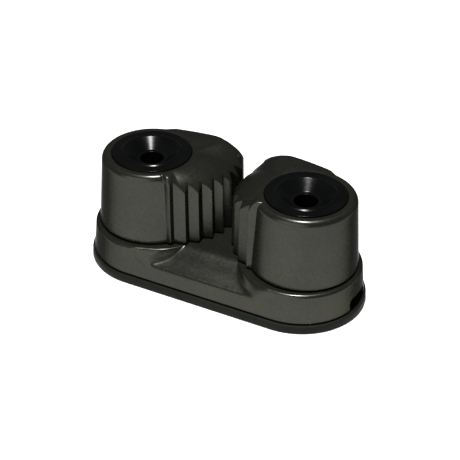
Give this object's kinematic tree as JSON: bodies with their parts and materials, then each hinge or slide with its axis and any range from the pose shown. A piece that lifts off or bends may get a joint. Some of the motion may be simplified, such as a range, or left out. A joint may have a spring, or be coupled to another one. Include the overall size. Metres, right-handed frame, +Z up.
{
  "type": "cam cleat",
  "caption": "Ball-bearing cam cleat: toothed sprung cams on a flat base grip a rope pulled between them and release it when it is lifted.",
  "frame": {"origin": "centre of the sole pad's underside, midway between the two screw holes", "axes": "+X from the left cam to the right cam through both screw holes, +Y the way a line is pulled in (the loaded end of the line leaves towards -Y), +Z up from the deck"},
  "size_m": [0.0664, 0.0298, 0.027],
  "materials": {
    "anodised_aluminium": "satin, dark olive-grey hard anodising on cast and machined aluminium",
    "black_acetal": "moulded black acetal, semi-gloss",
    "sole_rubber": "moulded black sole pad, dull",
    "bearing_ball": "polished high-load bearing plastic, straw brown",
    "spring_steel": "drawn stainless spring wire"
  },
  "bodies": {
    "base_unit": {"base": "anodised_aluminium", "sole_pad": "sole_rubber", "pivot_post_left": "black_acetal", "pivot_post_right": "black_acetal", "cap_left": "black_acetal", "cap_right": "black_acetal", "spring_left": "spring_steel", "spring_right": "spring_steel"},
    "left_cam": {"cam_left": "anodised_aluminium"},
    "right_cam": {"cam_right": "anodised_aluminium"},
    "left_balls": {"left_lower_ball_01": "bearing_ball", "left_lower_ball_02": "bearing_ball", "left_lower_ball_03": "bearing_ball", "left_lower_ball_04": "bearing_ball", "left_lower_ball_05": "bearing_ball", "left_lower_ball_06": "bearing_ball", "left_lower_ball_07": "bearing_ball", "left_lower_ball_08": "bearing_ball", "left_lower_ball_09": "bearing_ball", "left_lower_ball_10": "bearing_ball", "left_lower_ball_11": "bearing_ball", "left_upper_ball_01": "bearing_ball", "left_upper_ball_02": "bearing_ball", "left_upper_ball_03": "bearing_ball", "left_upper_ball_04": "bearing_ball", "left_upper_ball_05": "bearing_ball", "left_upper_ball_06": "bearing_ball", "left_upper_ball_07": "bearing_ball", "left_upper_ball_08": "bearing_ball", "left_upper_ball_09": "bearing_ball", "left_upper_ball_10": "bearing_ball", "left_upper_ball_11": "bearing_ball"},
    "right_balls": {"right_lower_ball_01": "bearing_ball", "right_lower_ball_02": "bearing_ball", "right_lower_ball_03": "bearing_ball", "right_lower_ball_04": "bearing_ball", "right_lower_ball_05": "bearing_ball", "right_lower_ball_06": "bearing_ball", "right_lower_ball_07": "bearing_ball", "right_lower_ball_08": "bearing_ball", "right_lower_ball_09": "bearing_ball", "right_lower_ball_10": "bearing_ball", "right_lower_ball_11": "bearing_ball", "right_upper_ball_01": "bearing_ball", "right_upper_ball_02": "bearing_ball", "right_upper_ball_03": "bearing_ball", "right_upper_ball_04": "bearing_ball", "right_upper_ball_05": "bearing_ball", "right_upper_ball_06": "bearing_ball", "right_upper_ball_07": "bearing_ball", "right_upper_ball_08": "bearing_ball", "right_upper_ball_09": "bearing_ball", "right_upper_ball_10": "bearing_ball", "right_upper_ball_11": "bearing_ball"}
  },
  "joints": [
    {"name": "left_cam_pivot", "type": "hinge", "parent": "base_unit", "child": "left_cam", "pos_m": [-0.019, 0, 0.0181], "axis": [0, 0, 1], "range_deg": [0, 60], "stiffness_Nm_per_rad": 0.08, "springref_deg": -34.38, "deforming": ["spring_left"]},
    {"name": "left_balls_orbit", "type": "hinge", "parent": "base_unit", "child": "left_balls", "pos_m": [-0.019, 0, 0.0181], "axis": [0, 0, 1], "range_deg": [0, 38.2]},
    {"name": "right_cam_pivot", "type": "hinge", "parent": "base_unit", "child": "right_cam", "pos_m": [0.019, 0, 0.0181], "axis": [0, 0, -1], "range_deg": [0, 60], "stiffness_Nm_per_rad": 0.08, "springref_deg": -34.38, "deforming": ["spring_right"]},
    {"name": "right_balls_orbit", "type": "hinge", "parent": "base_unit", "child": "right_balls", "pos_m": [0.019, 0, 0.0181], "axis": [0, 0, -1], "range_deg": [0, 38.2]}
  ],
  "couplings": [
    {"joint": "left_balls_orbit", "follows": "left_cam_pivot", "ratio": 0.6345},
    {"joint": "right_balls_orbit", "follows": "right_cam_pivot", "ratio": 0.6345}
  ]
}
